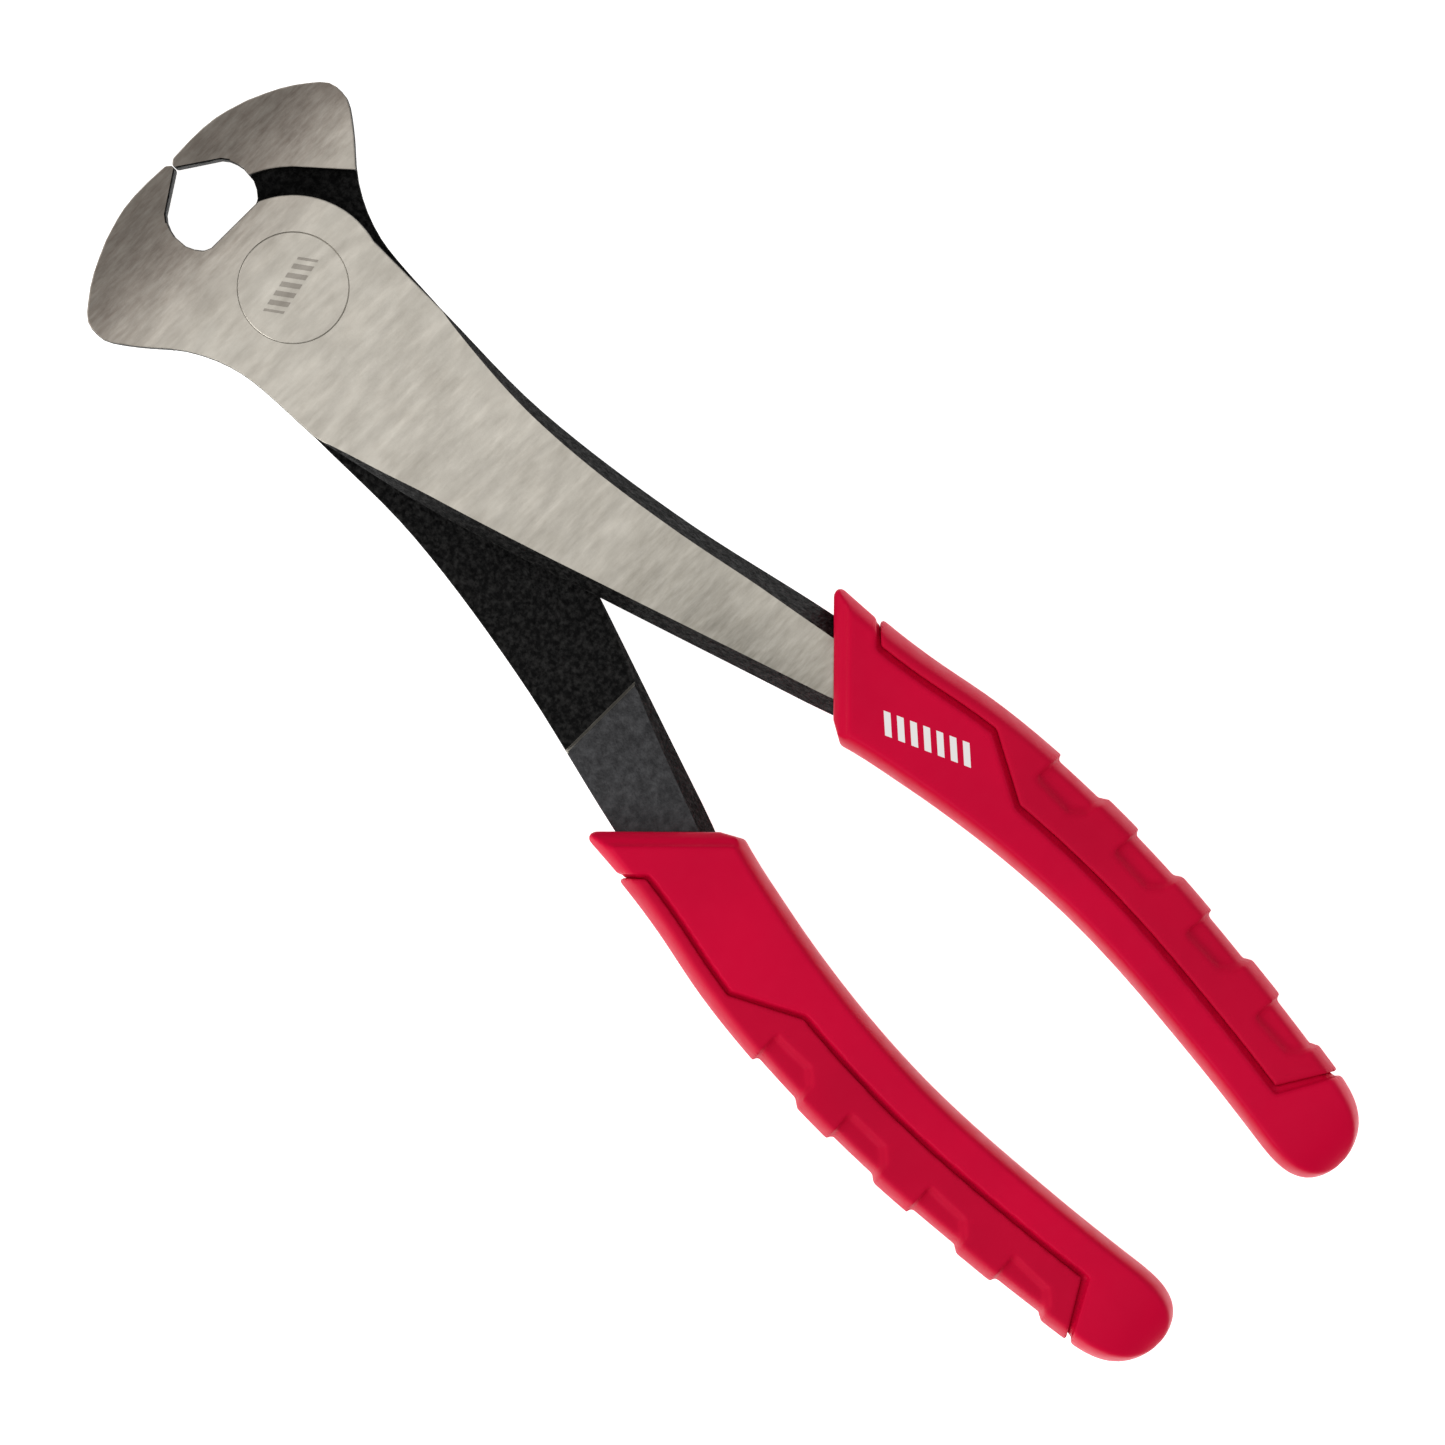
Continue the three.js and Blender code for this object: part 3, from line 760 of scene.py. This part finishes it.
sleeve_red = moulding("sleeve_red", (0.62, 0.0013, 0.034), 0.42)
pad_red = moulding("pad_red", (0.55, 0.002, 0.03), 0.5)
finishes = (ground_steel, rivet_steel, oxide, grey_oxide, sleeve_red, pad_red)
print("finishes:", [finish.material.name for finish in finishes])

# %% [markdown]
# One forging carries three finishes, so its faces are chosen by their place and direction and given a slot
# each. Its broad faces are then shaded flat and its fine edges smooth, by an angle and by weighting the
# normals by area.


# %% Give the finishes out
def finish_with(piece, *finishes):
    """Gives a piece its finishes, the first one all over."""
    piece.data.materials.clear()
    for finish in finishes:
        piece.data.materials.append(finish.material)


def assign(piece, slot, test):
    """Gives the faces that pass a test on their corners, in tool millimetres, the finish in one slot."""
    only(piece)
    bpy.ops.object.mode_set(mode="EDIT")
    bpy.ops.mesh.select_mode(type="FACE")
    bpy.ops.mesh.select_all(action="DESELECT")
    bpy.ops.object.mode_set(mode="OBJECT")
    corners = [(v.co - pivot) * 1000 for v in piece.data.vertices]
    chosen = [face for face in piece.data.polygons if test([corners[i] for i in face.vertices], face)]
    for face in chosen:
        face.select = True
    count = len(chosen)
    bpy.ops.object.mode_set(mode="EDIT")
    piece.active_material_index = slot
    bpy.ops.object.material_slot_assign()
    bpy.ops.object.mode_set(mode="OBJECT")
    return count


def is_ground(ends, face):
    """The joint's outer face, the flared jaws and their front."""
    middle = sum(ends, Vector()) / len(ends)
    outer_face = face.normal.z > 0.8 and middle.z > 4.0
    hole = middle.xy.length < 8.5 and middle.z > 6.3
    far_flare = face.normal.z < -0.8 and middle.z < -6.0
    front = middle.y > 14 and face.normal.y > 0.15 and (middle.x < -8 or middle.y > 21)
    # Painted highlight: the lip where the lap steps up to the ramp gets the bright ground finish, where
    # light catches it.
    lip = -78.2 < middle.y < -77.1 and middle.z < 1 and face.normal.y > 0.4
    return outer_face or far_flare or front or hole or lip


def is_ramp(ends, face):
    """The ramp behind the lap."""
    middle = sum(ends, Vector()) / len(ends)
    return middle.y < -77.6 and middle.z < 1 and face.normal.z < -0.9 and face.normal.y < 0.4


finish_with(half, oxide, ground_steel, grey_oxide)
print("ground faces:", assign(half, 1, is_ground), "ramp faces:", assign(half, 2, is_ramp))
finish_with(rivet, rivet_steel)
finish_with(whole_grip, sleeve_red)
finish_with(pad, pad_red)
for piece in (half, rivet):
    only(piece)
    bpy.ops.object.shade_smooth_by_angle(angle=sharp)
    modify(piece, "WEIGHTED_NORMAL", keep_sharp=True, weight=80)
for piece in (whole_grip, pad):
    only(piece)
    bpy.ops.object.shade_smooth()

# %% [markdown]
# ## The rear pieces
# The rear half, its sleeve and its pad are the same forging and the same mouldings, turned half a turn
# about the long axis. A mirror would give a left-handed twin that doesn't lap, so they are copied and
# turned in edit mode.


# %% Copy and turn
def turn_over(piece, name):
    """A copy turned half a turn about the tool's long axis, which makes the rear half of the front one."""
    twin = copy(piece, name)
    bpy.ops.object.mode_set(mode="EDIT")
    bpy.ops.mesh.select_all(action="SELECT")
    bpy.ops.transform.rotate(value=math.pi, orient_axis="Y", center_override=pivot)
    return settle(twin)


rear_half = turn_over(half, "rear_forging")
rear_sleeve = turn_over(whole_grip, "rear_sleeve")
rear_pad = turn_over(pad, "rear_pad")
print("rear pieces:", rear_half.name, rear_sleeve.name, rear_pad.name)

# %% [markdown]
# The tool has one hinge, so every piece moves with the front half or with the rear half. The rivet goes
# with the front one. Parenting would do for a picture, but a ride on a named body also holds at every pose.

# %% Which body each piece rides on
riders = [
    (half, "front", "front_half", "forged_steel"),
    (rivet, "front", "pivot_rivet", "rivet_steel"),
    (whole_grip, "front", "front_grip_sleeve", "grip_sleeve"),
    (pad, "front", "front_grip_pad", "grip_pad"),
    (rear_half, "rear", "rear_half", "forged_steel"),
    (rear_sleeve, "rear", "rear_grip_sleeve", "grip_sleeve"),
    (rear_pad, "rear", "rear_grip_pad", "grip_pad"),
]
for piece, body, node, slot in riders:
    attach(piece, body)
    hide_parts(node)
    print(piece.name, "rides on", body)

# %% [markdown]
# ## The table, the lights and the camera
# The tool lies on a plain white table and is seen from straight above, turned so that its jaws point to the
# upper left. Soft square lights stand on several sides, the strongest on the left, because ground steel
# needs something broad to reflect. The table glows a little, which keeps it white without hard shadows.

# %% Table
bpy.ops.object.select_all(action="DESELECT")
bpy.ops.mesh.primitive_plane_add(size=6, location=(0, 0, -0.0003))
table = bpy.context.active_object
table.name = "table"
paper = bpy.data.materials.new("table_white")
paper.use_nodes = True
surface = paper.node_tree.nodes["Principled BSDF"].inputs
surface["Base Color"].default_value = (0.9, 0.9, 0.9, 1)
surface["Roughness"].default_value = 0.9
surface["Emission Color"].default_value = (1, 1, 1, 1)
surface["Emission Strength"].default_value = 0.85
table.data.materials.append(paper)
print("table", tuple(table.dimensions))


# %% Lights
def softbox(name, place, power, size):
    """A square light aimed at the tool."""
    bpy.ops.object.light_add(type="AREA", location=place)
    lamp = bpy.context.active_object
    lamp.name = name
    lamp.data.energy = power
    lamp.data.shape = "SQUARE"
    lamp.data.size = size
    lamp.rotation_euler = (-Vector(place)).to_track_quat("-Z", "Y").to_euler()


softbox("overhead", (-0.06, 0.06, 1.6), 4.2, 1.0)
softbox("left_side", (-1.0, 0.0, 0.7), 6.0, 0.6)
softbox("right_side", (1.0, -0.3, 0.7), 1.6, 0.6)
softbox("jaw_side", (-0.5, 1.0, 0.6), 2.5, 0.5)
world = bpy.data.worlds.new("studio")
world.use_nodes = True
sky = world.node_tree.nodes["Background"].inputs
sky["Color"].default_value = (1, 1, 1, 1)
sky["Strength"].default_value = 0.42
bpy.context.scene.world = world

# Plain colours, with no film curve over them.
bpy.context.scene.view_settings.view_transform = "Standard"

# %% Camera
lean = math.radians(44.72)
height, frame_side, sensor = 4.8, 0.2153, 36
aim = at(-0.13, -91.06, 8)
bpy.ops.object.camera_add(location=aim + Vector((0, 0, height)), rotation=(0, 0, -lean))
camera = bpy.context.active_object
camera.data.sensor_width = sensor
camera.data.lens = sensor * height / frame_side
camera.data.clip_start = 0.05
bpy.context.scene.camera = camera
print("camera", round(height, 2), "m above the tool, lens", round(camera.data.lens), "mm")
